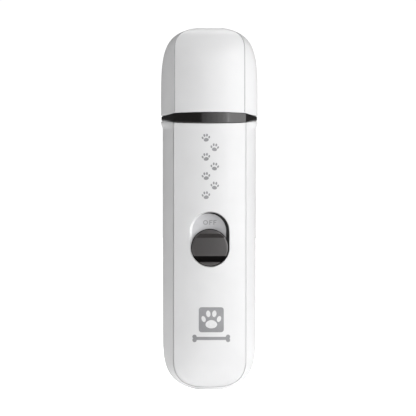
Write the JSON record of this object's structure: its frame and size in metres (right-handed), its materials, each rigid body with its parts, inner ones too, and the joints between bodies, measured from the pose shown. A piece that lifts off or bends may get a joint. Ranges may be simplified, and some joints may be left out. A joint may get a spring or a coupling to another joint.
{
  "type": "cordless pet nail grinder",
  "caption": "Slim upright handle with a front panel, a slide switch in a stadium recess, a dark collar band and a pull-off cap over a ported guard and spinning abrasive drum.",
  "frame": {"origin": "middle of the bounding box at the flat bottom end", "axes": "+Z along the handle towards the cap, -Y out of the front with the switch, X across the width"},
  "size_m": [0.0402, 0.0328, 0.15],
  "materials": {
    "white_shell": "smooth glossy white plastic",
    "dark_gloss": "glossy near-black plastic",
    "silver_plate": "satin silver-grey paint",
    "neck_plastic": "fine matt dark plastic",
    "guard_plastic": "frosted pale plastic",
    "rubber": "soft matt rubber",
    "steel": "turned or pressed bare steel",
    "brass": "bare brass",
    "abrasive": "coated abrasive grit",
    "magnet": "dark sintered or moulded block",
    "copper": "enamelled copper winding",
    "board": "green solder mask",
    "inner_plastic": "plain moulded plastic",
    "cell_wrap": "shrink-wrapped sleeve",
    "red_lead": "soft wire insulation",
    "black_lead": "soft dark insulation"
  },
  "bodies": {
    "housing": {"rear_housing": "white_shell", "front_cover": "white_shell", "collar_band": "dark_gloss", "neck_frame": "neck_plastic", "neck_seal_ring": "rubber", "switch_plate": "silver_plate", "slide_switch_body": "inner_plastic", "motor_can": "steel", "motor_end_bell": "inner_plastic", "motor_terminal_left": "brass", "motor_terminal_right": "brass", "motor_magnet_left": "magnet", "motor_magnet_right": "magnet", "motor_bracket": "neck_plastic", "motor_screw_left": "steel", "motor_screw_right": "steel", "bearing_outer_race": "steel", "bearing_shield": "rubber", "battery_cell": "cell_wrap", "battery_tab_top": "steel", "battery_tab_bottom": "steel", "battery_cradle": "inner_plastic", "control_board": "board", "board_screw_left": "steel", "board_screw_right": "steel", "charge_controller": "magnet", "motor_capacitor": "black_lead", "charge_socket": "steel", "motor_lead_red": "red_lead", "motor_lead_black": "black_lead", "battery_lead_red": "red_lead", "battery_lead_black": "black_lead", "housing_screw_lower_left": "steel", "housing_screw_lower_right": "steel", "housing_screw_upper_left": "steel", "housing_screw_upper_right": "steel"},
    "spindle": {"motor_shaft": "steel", "motor_armature": "copper", "motor_commutator": "copper", "bearing_inner_race": "steel", "shaft_coupling": "brass", "spindle": "steel", "collet": "brass", "collet_nut": "steel", "drum_mandrel": "steel", "drum_core": "rubber", "abrasive_sleeve": "abrasive", "drum_screw": "brass"},
    "switch": {"switch_knob": "dark_gloss", "switch_carrier": "inner_plastic", "slide_switch_lever": "steel"},
    "guard": {"nail_guard": "guard_plastic"},
    "cap": {"cap": "white_shell"}
  },
  "joints": [
    {"name": "switch_slide", "type": "slide", "parent": "housing", "child": "switch", "axis": [0, 0, 1], "range_m": [0, 0.00685]},
    {"name": "spindle_spin", "type": "hinge", "parent": "housing", "child": "spindle", "pos_m": [0, 0, 0.13], "axis": [0, 0, 1], "continuous": true},
    {"name": "guard_lift", "type": "slide", "parent": "housing", "child": "guard", "axis": [0, 0, 1], "range_m": [0, 0.026]},
    {"name": "cap_lift", "type": "slide", "parent": "guard", "child": "cap", "axis": [0, 0, 1], "range_m": [0, 0.045]}
  ]
}
